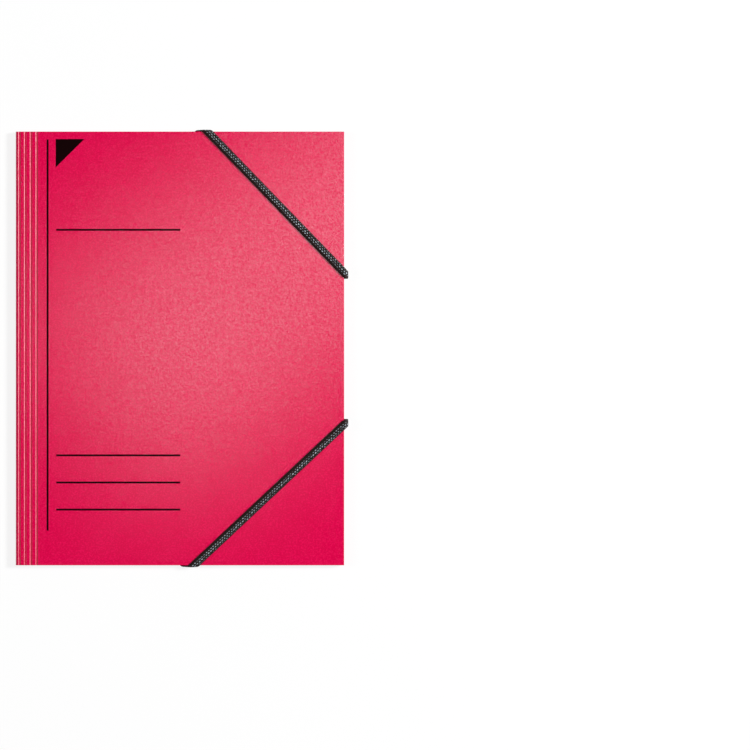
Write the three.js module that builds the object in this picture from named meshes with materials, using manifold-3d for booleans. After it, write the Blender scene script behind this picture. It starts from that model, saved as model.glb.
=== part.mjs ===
// A three-flap card folder with two corner elastics, lying closed on its back.
// Millimetres, +Z up. The spine fold is at -X, the folder's head is towards +Y.
// The origin is at the middle of the closed folder's footprint, on the surface it lies on.

import * as THREE from 'three';
import { mergeVertices } from 'three/addons/utils/BufferGeometryUtils.js';
import Module from 'manifold-3d';

const wasm = await Module();
wasm.setup();

// The card sheet
const folderWidth = 242.4;
const folderHeight = 320;
const boardThickness = 0.6;
const flapGap = 2.0;
const coverGap = 0.15;
const coverEdgeInset = 0.8;
const noseSlit = 0.1;

// Scores pressed into the outer face
const scoreWidth = 1.5;
const scoreDepth = 0.25;
const scorePitch = 4.25;
const spineScoreCount = 4;
const spineFirstScore = 2.85;
const sideScoreCount = 7;
const sideFirstScore = 3.1;
const flapScoreCount = 8;
const flapFirstScore = 5.5;

// Side flap, folded in from the right
const sideFlapWidth = 120.4;
const sideFlapHeadRadius = 3.5;
const sideFlapFootRadius = 6;

// Head and foot flaps, folded in from the top and the bottom
const flapNearSpine = 37;
const flapWidth = 81;
const flapLength = 112;
const flapStraightSide = 46.5;
const flapSlantInset = 20.3;
const flapSlantRadius = 11;
const flapShoulderRadius = 16;
const headRootRadius = 2.5;
const footRootRadius = 7.5;

// Relief notch in the foot of the back panel
const notchStart = 110;
const notchLength = 20;
const notchDepth = 2.2;
const notchSlope = 4;

// Elastic bands across the two right-hand corners
const bandWidth = 4.6;
const bandThickness = 1.1;
const bandChamfer = 0.3;
const headBandAlong = 100.2;
const headBandDown = 103.7;
const footBandAlong = 110.2;
const footBandUp = 103.3;
const bandStandsOffEdge = 1.5;
const bandStandsOffFold = 3.2;
const bandEdgeBend = 1.0;
const bandTurnRadius = 5;
const bandRearRun = 8;
const bandSlotBend = 0.9;

// Clips that hold the bands' ends inside the back panel
const clipLength = 8;
const clipWall = 0.45;
const clipHeight = 1.4;
const bandEndInClip = 0.9;

// Clearances
const seat = 0.05;
const slotClearance = 0.25;

// Fineness of the round parts
const arcSteps = 8;

// Levels, counted up from the surface that the folder lies on
const backUnderside = bandThickness + seat;
const backTop = backUnderside + boardThickness;
const flapUnderside = backTop + flapGap;
const flapTop = flapUnderside + boardThickness;
const coverUnderside = flapTop + coverGap;
const coverTop = coverUnderside + boardThickness;
const hingeLevel = (backUnderside + coverTop) / 2;
const halfBoard = boardThickness / 2;
const noseMiddle = coverTop - hingeLevel - noseSlit / 2 - halfBoard;
const foldRadius = flapGap / 2 + boardThickness;
const halfHeight = folderHeight / 2;
const frontBandLevel = coverTop + seat + bandThickness / 2;
const rearBandLevel = bandThickness / 2;

// Colours and finish
const card = new THREE.MeshStandardMaterial({ color: 0xe0365f, roughness: 0.75, metalness: 0 });
const elasticBlack = new THREE.MeshStandardMaterial({ color: 0x15191b, roughness: 0.8, metalness: 0 });
const clipMetal = new THREE.MeshStandardMaterial({ color: 0xb9bcc0, roughness: 0.35, metalness: 1 });

// Joins the corners of a closed geometry and makes it a solid that can be cut and joined
function solidOf(geometry) {
  const plain = geometry.clone();
  plain.deleteAttribute('normal');
  plain.deleteAttribute('uv');
  const merged = mergeVertices(plain, 1e-5);
  const mesh = new wasm.Mesh({
    numProp: 3,
    vertProperties: new Float32Array(merged.attributes.position.array),
    triVerts: new Uint32Array(merged.index.array),
  });
  return new wasm.Manifold(mesh);
}

// Turns a solid back into a geometry with flat-shaded faces
function geometryOf(solid) {
  const mesh = solid.getMesh();
  const geometry = new THREE.BufferGeometry();
  geometry.setAttribute('position', new THREE.BufferAttribute(mesh.vertProperties, 3));
  geometry.setIndex(new THREE.BufferAttribute(mesh.triVerts, 1));
  geometry.computeVertexNormals();
  return geometry;
}

// A shape drawn in plan, standing from level low to level high
function standing(shape, low, high) {
  const geometry = new THREE.ExtrudeGeometry(shape, { depth: high - low, bevelEnabled: false, curveSegments: 8 });
  geometry.translate(0, 0, low);
  return geometry;
}

// A section drawn in X and Z, carried along Y from one end of the folder to the other
function alongHeight(shape) {
  const geometry = new THREE.ExtrudeGeometry(shape, { depth: folderHeight, bevelEnabled: false });
  geometry.rotateX(Math.PI / 2);
  geometry.translate(0, halfHeight, 0);
  return geometry;
}

// A section drawn in Y and Z, carried along X from one place to another
function alongWidth(shape, from, to) {
  const geometry = new THREE.ExtrudeGeometry(shape, { depth: to - from, bevelEnabled: false });
  const turn = new THREE.Matrix4().makeBasis(
    new THREE.Vector3(0, 1, 0), new THREE.Vector3(0, 0, 1), new THREE.Vector3(1, 0, 0));
  geometry.applyMatrix4(turn);
  geometry.translate(from, 0, 0);
  return geometry;
}

// A closed outline whose corners [x, y, radius] are rounded where a radius is given
function roundedOutline(corners) {
  const shape = new THREE.Shape();
  corners.forEach(([x, y, radius = 0], i) => {
    const corner = new THREE.Vector2(x, y);
    const before = corners.at(i - 1);
    const after = corners[(i + 1) % corners.length];
    const back = new THREE.Vector2(before[0], before[1]).sub(corner).normalize();
    const ahead = new THREE.Vector2(after[0], after[1]).sub(corner).normalize();
    const halfAngle = Math.acos(THREE.MathUtils.clamp(back.dot(ahead), -1, 1)) / 2;
    const reach = radius / Math.tan(halfAngle);
    const start = corner.clone().addScaledVector(back, reach);
    const end = corner.clone().addScaledVector(ahead, reach);
    if (i === 0) {
      shape.moveTo(start.x, start.y);
    } else {
      shape.lineTo(start.x, start.y);
    }
    if (radius > 0) {
      shape.quadraticCurveTo(x, y, end.x, end.y);
    }
  });
  shape.closePath();
  return shape;
}

// Section of a folded sheet. Its middle line starts at a point with a heading, and is made of runs
// and turns. The outer side is +1 for the left of the heading or -1 for the right. Each score is a
// place along the middle line where the sheet is pressed in from its outer side.
function sheetSection(start, headingDegrees, pieces, outerSide, scores) {
  const spans = [];
  let point = new THREE.Vector2(start[0], start[1]);
  let heading = THREE.MathUtils.degToRad(headingDegrees);
  let travelled = 0;
  for (const piece of pieces) {
    const turn = THREE.MathUtils.degToRad(piece.turn ?? 0);
    const length = piece.run ?? Math.abs(turn) * piece.radius;
    spans.push({ point, heading, turn, length, from: travelled });
    point = pointAlong(spans.at(-1), length).point;
    heading += turn;
    travelled += length;
  }

  const stations = new Set();
  for (const span of spans) {
    const steps = span.turn === 0 ? 1 : Math.ceil(Math.abs(span.turn) / (Math.PI / 2) * arcSteps);
    for (let i = 0; i <= steps; i++) {
      stations.add(Number((span.from + span.length * i / steps).toFixed(6)));
    }
  }
  for (const score of scores) {
    for (let quarter = -2; quarter <= 2; quarter++) {
      stations.add(Number((score + quarter * scoreWidth / 4).toFixed(6)));
    }
  }

  const outer = [];
  const inner = [];
  for (const distance of [...stations].sort((a, b) => a - b)) {
    const span = spans.findLast((each) => each.from <= distance + 1e-6);
    const place = pointAlong(span, distance - span.from);
    const normal = new THREE.Vector2(-Math.sin(place.heading), Math.cos(place.heading)).multiplyScalar(outerSide);
    const pressed = pressedDepth(distance, scores);
    outer.push(place.point.clone().addScaledVector(normal, halfBoard - pressed));
    inner.push(place.point.clone().addScaledVector(normal, -halfBoard - pressed));
  }
  return new THREE.Shape([...outer, ...inner.reverse()]);
}

// Point and heading a given distance into one run or turn
function pointAlong(span, distance) {
  const point = span.point.clone();
  if (span.turn === 0) {
    point.x += distance * Math.cos(span.heading);
    point.y += distance * Math.sin(span.heading);
    return { point, heading: span.heading };
  }
  const radius = span.length / span.turn;
  const heading = span.heading + distance / radius;
  point.x += radius * (Math.sin(heading) - Math.sin(span.heading));
  point.y -= radius * (Math.cos(heading) - Math.cos(span.heading));
  return { point, heading };
}

// How deep the sheet is pressed in at a place along it: a smooth trough at each score
function pressedDepth(distance, scores) {
  const score = scores.find((each) => Math.abs(distance - each) < scoreWidth / 2);
  if (score === undefined) {
    return 0;
  }
  return scoreDepth * Math.cos(Math.PI * (distance - score) / scoreWidth) ** 2;
}

// Places of a row of scores along a middle line, from the outermost point of a fold
function scoresFromFold(first, count, middleRadius, turnDegrees, before) {
  const turned = THREE.MathUtils.degToRad(turnDegrees) * middleRadius;
  const reach = middleRadius + halfBoard;
  return Array.from({ length: count }, (_, i) => before + turned + first + i * scorePitch - reach);
}

// Back panel with its half of the spine, the right-hand fold and the side flap
function panelSection() {
  const foldMiddle = foldRadius - halfBoard;
  const panelRun = folderWidth - foldRadius - noseMiddle - halfBoard;
  const pieces = [
    { turn: 90, radius: noseMiddle },
    { run: panelRun },
    { turn: 180, radius: foldMiddle },
    { run: sideFlapWidth - foldRadius },
  ];
  const toFold = noseMiddle * Math.PI / 2 + panelRun;
  const spineScores = scoresFromFold(spineFirstScore, spineScoreCount, noseMiddle, 90, 0);
  const sideScores = scoresFromFold(sideFirstScore, sideScoreCount, foldMiddle, 180, toFold);
  return sheetSection([halfBoard, hingeLevel - noseSlit / 2], -90, pieces, -1, [...spineScores, ...sideScores]);
}

// Front cover with its half of the spine
function coverSection() {
  const pieces = [
    { turn: -90, radius: noseMiddle },
    { run: folderWidth - coverEdgeInset - noseMiddle - halfBoard },
  ];
  const scores = scoresFromFold(spineFirstScore, spineScoreCount, noseMiddle, 90, 0);
  return sheetSection([halfBoard, hingeLevel + noseSlit / 2], 90, pieces, 1, scores);
}

// Head flap for side +1 or foot flap for side -1, with the half-round fold that joins it to the back
function endFlap(side, rootRadius) {
  const foldMiddle = foldRadius - halfBoard;
  const pieces = [
    { run: foldRadius },
    { turn: 180 * side, radius: foldMiddle },
    { run: flapLength - foldRadius },
  ];
  const start = [side * (halfHeight - 2 * foldRadius), backUnderside + halfBoard];
  const heading = side > 0 ? 0 : 180;
  const scores = scoresFromFold(flapFirstScore, flapScoreCount, foldMiddle, 180, foldRadius);
  const section = sheetSection(start, heading, pieces, -side, scores);
  const right = flapNearSpine + flapWidth;
  const blank = alongWidth(section, flapNearSpine, right);
  const corners = [
    [flapNearSpine, halfHeight + foldRadius],
    [flapNearSpine, halfHeight - flapStraightSide, flapShoulderRadius],
    [flapNearSpine + flapSlantInset, halfHeight - flapLength - seat, flapSlantRadius],
    [right, halfHeight - flapLength - seat],
    [right, halfHeight - rootRadius * 1.6, rootRadius],
    [right - rootRadius, halfHeight + foldRadius],
  ];
  const outline = side > 0 ? corners : corners.map(([x, y, radius]) => [x, -y, radius]).reverse();
  const cutter = standing(roundedOutline(outline), backUnderside - 1, flapTop + 1);
  return solidOf(blank).intersect(solidOf(cutter));
}

// A plan rectangle
function rectangle(x0, y0, x1, y1) {
  return new THREE.Shape([
    new THREE.Vector2(x0, y0), new THREE.Vector2(x1, y0),
    new THREE.Vector2(x1, y1), new THREE.Vector2(x0, y1),
  ]);
}

// What is left outside a rounded corner of the side flap, head for side +1 and foot for side -1
function sideFlapCorner(side, radius) {
  const edge = folderWidth - sideFlapWidth;
  const shape = new THREE.Shape();
  shape.moveTo(edge - 1, side * (halfHeight + 1));
  shape.lineTo(edge - 1, side * (halfHeight - radius));
  shape.lineTo(edge, side * (halfHeight - radius));
  shape.quadraticCurveTo(edge, side * halfHeight, edge + radius, side * halfHeight);
  shape.lineTo(edge + radius, side * (halfHeight + 1));
  shape.closePath();
  return standing(shape, backTop + flapGap / 2, flapTop + 1);
}

// Relief notch through the foot of the panel and the foot of the side flap
function footNotch() {
  const inside = -halfHeight + notchDepth;
  const outside = -halfHeight - 1;
  const end = notchStart + notchLength;
  const shape = new THREE.Shape();
  shape.moveTo(notchStart, outside);
  shape.lineTo(end, outside);
  shape.lineTo(end, -halfHeight);
  shape.quadraticCurveTo(end - notchSlope / 2, inside, end - notchSlope, inside);
  shape.lineTo(notchStart + notchSlope, inside);
  shape.quadraticCurveTo(notchStart + notchSlope / 2, inside, notchStart, -halfHeight);
  shape.closePath();
  return standing(shape, backUnderside - 1, flapTop + 1);
}

// Route of one band in the flat: it starts where the middle of the band crosses the head or foot
// edge, goes straight to where it crosses the right-hand fold, and there turns square to the fold
function bandRoute(side, along, across) {
  const start = new THREE.Vector2(folderWidth - along, side * halfHeight);
  const direction = new THREE.Vector2(along, -side * across).normalize();
  const height = frontBandLevel - rearBandLevel;
  const edge = { bend: bandEdgeBend, upright: height - 2 * bandEdgeBend };
  const fold = { bend: height / 2, upright: 0 };
  edge.from = halfHeight + bandStandsOffEdge - edge.bend - bandThickness / 2;
  fold.from = folderWidth + bandStandsOffFold - fold.bend - bandThickness / 2;
  edge.length = Math.PI * edge.bend + edge.upright;
  fold.length = Math.PI * fold.bend + fold.upright;
  const frontStart = (edge.from - halfHeight) / (side * direction.y);
  const frontEnd = (fold.from - start.x) / direction.x;
  const turnAngle = Math.atan2(across, along);
  const turnEnd = frontEnd + bandTurnRadius * turnAngle;
  const turnCentre = start.clone().addScaledVector(direction, frontEnd);
  turnCentre.x += bandTurnRadius * Math.sin(turnAngle);
  turnCentre.y += side * bandTurnRadius * Math.cos(turnAngle);
  const rearStart = frontStart + (edge.length + bandRearRun) / (side * direction.y);
  const rearEnd = turnEnd + fold.from + fold.length + bandRearRun - turnCentre.x;
  return { side, start, direction, edge, fold, frontStart, frontEnd, turnAngle, turnEnd, turnCentre, rearStart, rearEnd };
}

// Point of the band in the flat: along its middle line and across it
function flatPoint(route, along, across) {
  const turned = THREE.MathUtils.clamp(along - route.frontEnd, 0, route.turnEnd - route.frontEnd) / bandTurnRadius;
  const heading = route.side * (turned - route.turnAngle);
  const cross = new THREE.Vector2(-Math.sin(heading), Math.cos(heading));
  if (along <= route.frontEnd) {
    return route.start.clone().addScaledVector(route.direction, along).addScaledVector(cross, across);
  }
  const point = route.turnCentre.clone().addScaledVector(cross, across - route.side * bandTurnRadius);
  point.x += Math.max(along - route.turnEnd, 0);
  return point;
}

// How far along the band its points lie that are a given distance past the start of the fold's
// bend, at a place across it
function alongAtFold(route, past, across) {
  const radius = bandTurnRadius - route.side * across;
  const beforeCentre = route.turnCentre.x - route.fold.from - past;
  if (beforeCentre <= 0) {
    return route.turnEnd - beforeCentre;
  }
  const reach = radius * Math.sin(route.turnAngle);
  if (beforeCentre <= reach) {
    return route.turnEnd - bandTurnRadius * Math.asin(beforeCentre / radius);
  }
  return route.frontEnd - (beforeCentre - reach) / route.direction.x;
}

// Carries a point round an edge. The distance is counted in the flat from where the first bend
// starts, and lift is the height above the band's middle layer. It gives how far out the point is
// from the start of the bend, and its level.
function roundEdge(wrap, distance, lift) {
  const radius = wrap.bend + lift;
  const quarter = wrap.bend * Math.PI / 2;
  if (distance <= 0) {
    return { out: distance, level: frontBandLevel + lift };
  }
  if (distance <= quarter) {
    const angle = distance / wrap.bend;
    return { out: radius * Math.sin(angle), level: frontBandLevel - wrap.bend + radius * Math.cos(angle) };
  }
  if (distance <= quarter + wrap.upright) {
    return { out: radius, level: frontBandLevel - wrap.bend - (distance - quarter) };
  }
  if (distance <= wrap.length) {
    const angle = (distance - quarter - wrap.upright) / wrap.bend;
    return { out: radius * Math.cos(angle), level: rearBandLevel + wrap.bend - radius * Math.sin(angle) };
  }
  return { out: wrap.length - distance, level: rearBandLevel - lift };
}

// Place in space of a point of the band: along it, across it and above its middle layer. Past
// either end of its rear run the band bends up through its slot.
function bandPoint(route, along, across, lift) {
  let place = along;
  let height = lift;
  const beyond = Math.max(route.rearStart - along, along - route.rearEnd);
  if (beyond > 0) {
    const end = along < 0 ? route.rearStart : route.rearEnd;
    const outward = along < 0 ? -1 : 1;
    const angle = Math.min(beyond / bandSlotBend, Math.PI / 2);
    const risen = Math.max(beyond - bandSlotBend * Math.PI / 2, 0);
    place = end + outward * (bandSlotBend + lift) * Math.sin(angle);
    height = -bandSlotBend + (bandSlotBend + lift) * Math.cos(angle) - risen;
  }
  const flat = flatPoint(route, place, across);
  const pastEdge = route.side * flat.y - route.edge.from;
  const pastFold = flat.x - route.fold.from;
  if (pastEdge > 0) {
    const round = roundEdge(route.edge, pastEdge, height);
    return new THREE.Vector3(flat.x, route.side * (route.edge.from + round.out), round.level);
  }
  const round = roundEdge(route.fold, pastFold, height);
  return new THREE.Vector3(route.fold.from + round.out, flat.y, round.level);
}

// Even steps from one value to another, both included
function steps(from, to, count) {
  return Array.from({ length: count + 1 }, (_, i) => from + (to - from) * i / count);
}

// Rows of the band from end to end. Each row gives its place along the band at a place across it, so
// that it lies parallel to the edge that the band goes round there.
function bandRows(route) {
  const { side, direction, edge, fold } = route;
  const edgeSlant = -direction.x / direction.y;
  const turnStart = -bandWidth / 2 * Math.sin(route.turnAngle);
  const quarterTurn = bandSlotBend * Math.PI / 2;
  const clipDepth = boardThickness + bandThickness / 2 + 2 * seat + bandEndInClip - bandSlotBend;
  const wrapPlaces = (wrap) => [
    ...steps(0, wrap.bend * Math.PI / 2, arcSteps),
    ...steps(wrap.length - wrap.bend * Math.PI / 2, wrap.length, arcSteps).slice(wrap.upright > 0 ? 0 : 1),
  ];
  const square = (place) => () => place;
  const atEdge = (past) => (across) => route.frontStart + past / (side * direction.y) + edgeSlant * across;
  const atFold = (past) => (across) => alongAtFold(route, past, across);
  return [
    square(route.rearStart - quarterTurn - clipDepth),
    ...steps(route.rearStart - quarterTurn, route.rearStart, 4).map(square),
    ...wrapPlaces(edge).reverse().map(atEdge),
    ...steps(turnStart, 0, 4).slice(0, -1).map(atFold),
    ...wrapPlaces(fold).map(atFold),
    ...steps(route.rearEnd, route.rearEnd + quarterTurn, 4).map(square),
    square(route.rearEnd + quarterTurn + clipDepth),
  ];
}

// The band as one closed skin: a flat section with chamfered edges, carried along its rows
function bandGeometry(route) {
  const half = bandWidth / 2;
  const thick = bandThickness / 2;
  const section = [
    [-half + bandChamfer, -thick], [half - bandChamfer, -thick],
    [half, -thick + bandChamfer], [half, thick - bandChamfer],
    [half - bandChamfer, thick], [-half + bandChamfer, thick],
    [-half, thick - bandChamfer], [-half, -thick + bandChamfer],
  ];
  const rows = bandRows(route);
  const around = section.length;
  const positions = rows.flatMap((alongAt) => section.flatMap(([across, lift]) =>
    bandPoint(route, alongAt(across), across, lift).toArray()));
  const faces = [];
  for (let row = 0; row + 1 < rows.length; row++) {
    for (let i = 0; i < around; i++) {
      const next = (i + 1) % around;
      const a = row * around + i;
      const b = row * around + next;
      faces.push(a, b, a + around, b, b + around, a + around);
    }
  }
  const last = (rows.length - 1) * around;
  for (let i = 1; i + 1 < around; i++) {
    faces.push(0, i + 1, i);
    faces.push(last, last + i, last + i + 1);
  }
  const geometry = new THREE.BufferGeometry();
  geometry.setAttribute('position', new THREE.Float32BufferAttribute(positions, 3));
  geometry.setIndex(faces);
  geometry.computeVertexNormals();
  return geometry;
}

// Where a band's end stands in its slot: the middle of the slot in plan and its direction
function bandEnd(route, outward) {
  const end = outward < 0 ? route.rearStart : route.rearEnd;
  const place = end + outward * bandSlotBend * Math.PI / 2;
  const middle = bandPoint(route, place, 0, 0);
  const beside = bandPoint(route, place, 1, 0);
  return { middle, angle: Math.atan2(beside.y - middle.y, beside.x - middle.x) };
}

// The slot that a band's end goes up through
function bandSlot(end) {
  const halfLong = bandWidth / 2 + slotClearance;
  const halfShort = bandThickness / 2 + slotClearance;
  const geometry = standing(rectangle(-halfLong, -halfShort, halfLong, halfShort), backUnderside - 1, backTop + 0.5);
  geometry.rotateZ(end.angle);
  geometry.translate(end.middle.x, end.middle.y, 0);
  return geometry;
}

// A bent strip of metal, crimped over the band's end and wider than the slot
function endClip(name, end) {
  const inner = bandThickness / 2 + seat;
  const outer = inner + clipWall;
  const roof = boardThickness + bandEndInClip + 2 * seat;
  const top = clipHeight;
  const ceiling = roof - boardThickness;
  const shape = roundedOutline([
    [-outer, 0], [-inner, 0], [-inner, ceiling], [inner, ceiling],
    [inner, 0], [outer, 0], [outer, top, clipWall], [-outer, top, clipWall],
  ]);
  const geometry = alongWidth(shape, -clipLength / 2, clipLength / 2);
  const clip = new THREE.Mesh(geometry, clipMetal);
  clip.name = name;
  clip.rotation.z = end.angle;
  clip.position.set(end.middle.x, end.middle.y, backTop + seat);
  return clip;
}

const headRoute = bandRoute(1, headBandAlong, headBandDown);
const footRoute = bandRoute(-1, footBandAlong, footBandUp);
const bandEnds = [
  ['head_band_edge_clip', bandEnd(headRoute, -1)],
  ['head_band_side_clip', bandEnd(headRoute, 1)],
  ['foot_band_edge_clip', bandEnd(footRoute, -1)],
  ['foot_band_side_clip', bandEnd(footRoute, 1)],
];

// Back panel and its three flaps: one scored, cut and folded sheet
function backPanel() {
  let panel = solidOf(alongHeight(panelSection()));
  const right = flapNearSpine + flapWidth;
  const rootLevel = [backUnderside - 1, backTop + flapGap / 2];
  for (const side of [1, -1]) {
    const inside = side * (halfHeight - foldRadius);
    const outside = side * (halfHeight + 1);
    const low = Math.min(inside, outside);
    const high = Math.max(inside, outside);
    panel = panel.subtract(solidOf(standing(rectangle(flapNearSpine, low, right, high), ...rootLevel)));
  }
  panel = panel.add(endFlap(1, headRootRadius));
  panel = panel.add(endFlap(-1, footRootRadius));
  panel = panel.subtract(solidOf(sideFlapCorner(1, sideFlapHeadRadius)));
  panel = panel.subtract(solidOf(sideFlapCorner(-1, sideFlapFootRadius)));
  panel = panel.subtract(solidOf(footNotch()));
  for (const [, end] of bandEnds) {
    panel = panel.subtract(solidOf(bandSlot(end)));
  }
  const mesh = new THREE.Mesh(geometryOf(panel), card);
  mesh.name = 'back_panel';
  return mesh;
}

// Front cover
function frontCover() {
  const mesh = new THREE.Mesh(alongHeight(coverSection()), card);
  mesh.name = 'front_cover';
  return mesh;
}

// One elastic band
function band(name, route) {
  const mesh = new THREE.Mesh(bandGeometry(route), elasticBlack);
  mesh.name = name;
  return mesh;
}

const folder = new THREE.Group();
folder.add(backPanel());
folder.add(frontCover());
folder.add(band('head_elastic', headRoute));
folder.add(band('foot_elastic', footRoute));
for (const [name, end] of bandEnds) {
  folder.add(endClip(name, end));
}

// The bands' loops stand out past the right-hand fold, so the footprint is that much wider
folder.position.x = -(folderWidth + bandStandsOffFold) / 2;

export default folder;
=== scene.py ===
"""Dresses a three-flap card folder: its scored sheet, its print, its braided elastics and its stage."""

import math

import bpy
import numpy as np
from bpy.props import FloatProperty, IntProperty, PointerProperty, StringProperty
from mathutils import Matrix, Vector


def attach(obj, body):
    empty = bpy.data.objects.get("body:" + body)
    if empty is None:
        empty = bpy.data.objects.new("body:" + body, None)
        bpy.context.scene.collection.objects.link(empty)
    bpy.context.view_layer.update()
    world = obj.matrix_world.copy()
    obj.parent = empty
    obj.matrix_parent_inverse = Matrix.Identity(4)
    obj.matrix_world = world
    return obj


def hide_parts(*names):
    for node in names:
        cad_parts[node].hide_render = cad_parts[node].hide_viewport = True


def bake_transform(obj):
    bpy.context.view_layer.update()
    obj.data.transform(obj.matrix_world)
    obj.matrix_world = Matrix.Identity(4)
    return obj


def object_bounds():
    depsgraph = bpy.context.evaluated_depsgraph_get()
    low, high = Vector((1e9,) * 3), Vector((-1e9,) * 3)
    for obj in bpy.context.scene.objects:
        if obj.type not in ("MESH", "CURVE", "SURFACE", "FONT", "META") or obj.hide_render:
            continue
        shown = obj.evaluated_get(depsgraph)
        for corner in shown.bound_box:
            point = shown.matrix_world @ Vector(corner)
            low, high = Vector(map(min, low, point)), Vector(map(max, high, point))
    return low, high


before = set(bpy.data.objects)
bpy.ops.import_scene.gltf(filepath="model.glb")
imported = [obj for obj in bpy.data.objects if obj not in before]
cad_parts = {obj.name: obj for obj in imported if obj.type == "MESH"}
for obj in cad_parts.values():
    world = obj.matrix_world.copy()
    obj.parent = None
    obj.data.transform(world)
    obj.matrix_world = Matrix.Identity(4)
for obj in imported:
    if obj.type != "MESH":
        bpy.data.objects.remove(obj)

bl_info = {
    "name": "Card folder with elastics",
    "version": (1, 0, 0),
    "blender": (4, 5, 0),
    "location": "View3D > Sidebar > Folder",
    "description": "Builds a three-flap folder: scored card, print, braided elastics and stage",
    "category": "Add Mesh",
}

MM = 0.001
CAD_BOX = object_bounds()
CAD_LEFT = CAD_BOX[0][0]

# Levels of the closed folder
BACK_UNDERSIDE = 1.15 * MM
FLAP_GAP = 2.0 * MM
COVER_GAP = 0.15 * MM

# Where the bending spine meets the flat sheets on either side
SPINE_JOIN = 4.95 * MM

# Scores of each fold
SPINE_SCORES = 4
SIDE_SCORES = 7
END_SCORES = 8

# A score's walls, as shares of its width: how much one takes up, how far its middle is from the score's,
# and over what length the painted highlight or painted shade on a wall fades
WALL_SHARE = 0.28
WALL_MIDDLE = 0.36
WALL_FADE = 0.1

# Places across a score, as shares of its width: the ends of both walls, and points on them and between
WALL_PLACES = np.array([-0.53, -0.5, -0.47, -0.36, -0.25, -0.22, -0.19, 0.0,
                        0.19, 0.22, 0.25, 0.36, 0.47, 0.5, 0.53])

# Roots of the end flaps, from the spine's nose
ROOT_LEFT = 37 * MM
ROOT_RIGHT = 118 * MM

# Outline of an end flap: its shoulder below the folder's edge, its toe from its left side, and the
# rounding of both
SHOULDER_DOWN = 46.5 * MM
TOE_IN = 20.3 * MM
SHOULDER_ROUND = 16 * MM
TOE_ROUND = 11 * MM

# Size of the slant beside the roots of the two end flaps
HEAD_SLANT = 2.5 * MM
FOOT_SLANT = 7.5 * MM

# Rounding of the side flap's two free corners
SIDE_HEAD_ROUND = 3.5 * MM
SIDE_FOOT_ROUND = 6 * MM

# Relief notch in the foot, from the spine's nose
NOTCH_START = 110 * MM
NOTCH_END = 130 * MM
NOTCH_DEPTH = 2.2 * MM
NOTCH_SLOPE = 4 * MM

# Points across a sheet: along the folder's height, and across an end flap
SHEET_COLUMNS = 65
FLAP_COLUMNS = 33

# Print, counted down from the head but for the triangle's left side, which is counted from the nose
UPRIGHT_FROM = 5.8 * MM
UPRIGHT_TO = 294.4 * MM
LINES_DOWN = (72.48 * MM, 238.88 * MM, 258.9 * MM, 278.9 * MM)
CORNER_LEFT = 29.6 * MM
CORNER_DOWN = 5.5 * MM
CORNER_TIP = 0.02 * MM

# Each band's end of the folder, and how far from the corner it crosses the edge there and the fold
BANDS = {"head": (1, 100.2 * MM, 103.7 * MM), "foot": (-1, 110.2 * MM, 103.3 * MM)}

# A band's way round the card: its gap to the cover, how far its loops stand out past the edge and the
# fold, its bend at the edge, its arc in the flat, its runs under the back, its bend into a slot and how
# far it stands up past that
BAND_GAP = 0.05 * MM
EDGE_REACH = 1.5 * MM
FOLD_REACH = 3.2 * MM
EDGE_BEND = 1.0 * MM
TURN_RADIUS = 5 * MM
REAR_RUN = 8 * MM
SLOT_BEND = 0.9 * MM
END_RISE = 1.25 * MM

# The clips gather a band to this share of its width, over this length before each end
GATHERED = 0.78
GATHER_RUN = 7 * MM

# The band lies this far to the spine's side of its route
BAND_SHIFT = 0.3 * MM

# Points round a band's upper or lower face
BAND_COLUMNS = 41

# The camera's place over the folder, and the level of the cover's face
CAMERA_RIGHT = 0.1424
CAMERA_FOOTWARD = -0.0196
COVER_FACE = 0.0051

# Each softbox: place and size in metres, turn in degrees, the name of its power, whether gloss shows it
SOFTBOXES = {
    "key_softbox": ((3.73, 0.79, 2.20), (0.0, 60.0, 12.0), (0.75, 0.75), "key_power", True),
    "left_softbox": ((-3.30, 0.20, 1.90), (0.0, -60.0, -4.0), (1.20, 1.20), "left_power", False),
    "overhead_softbox": ((0.062, 0.104, 1.50), (0.0, 0.0, 35.0), (0.53, 0.240), "overhead_power", True),
}

CLIPS = ("head_band_edge_clip", "head_band_side_clip", "foot_band_edge_clip", "foot_band_side_clip")


def length(name, description, millimetres):
    """A property for a length, in metres."""
    return FloatProperty(name=name, description=description, default=millimetres * MM, min=0.0,
                         unit="LENGTH", precision=5)


def colour(name, description, value):
    """A property for a colour as an sRGB hex value."""
    return StringProperty(name=name, description=description, default=value, maxlen=7)


def power(name, description, watts):
    """A property for the power of a lamp, in watts."""
    return FloatProperty(name=name, description=description, default=watts, min=0.0, unit="POWER")


class FolderCard(bpy.types.PropertyGroup):
    """The die-cut and scored card sheet."""
    width: length("Width", "Closed width from the spine's nose to the right-hand fold", 242.4)
    height: length("Height", "Closed height from head to foot", 320)
    thickness: length("Thickness", "Thickness of the card", 0.6)
    cover_inset: length("Cover inset", "How far the cover's free edge stands back from the fold", 0.1)
    score_width: length("Score width", "Width of one pressed score", 1.7)
    score_depth: length("Score depth", "Depth of one pressed score", 0.28)
    score_pitch: length("Score pitch", "From one score to the next", 4.25)
    spine_first: length("First spine score", "From the spine's nose to the first score", 2.85)
    side_first: length("First side score", "From the right-hand fold to the side flap's first score", 3.1)
    end_first: length("First end score", "From the head or foot to an end flap's first score", 5.5)
    side_flap: length("Side flap", "Width of the side flap", 120.4)
    end_flap: length("End flap", "Length of the head and foot flaps", 112)
    edge_round: length("Cut edge", "Rounding that the cutting die leaves on the edges", 0.12)


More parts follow.
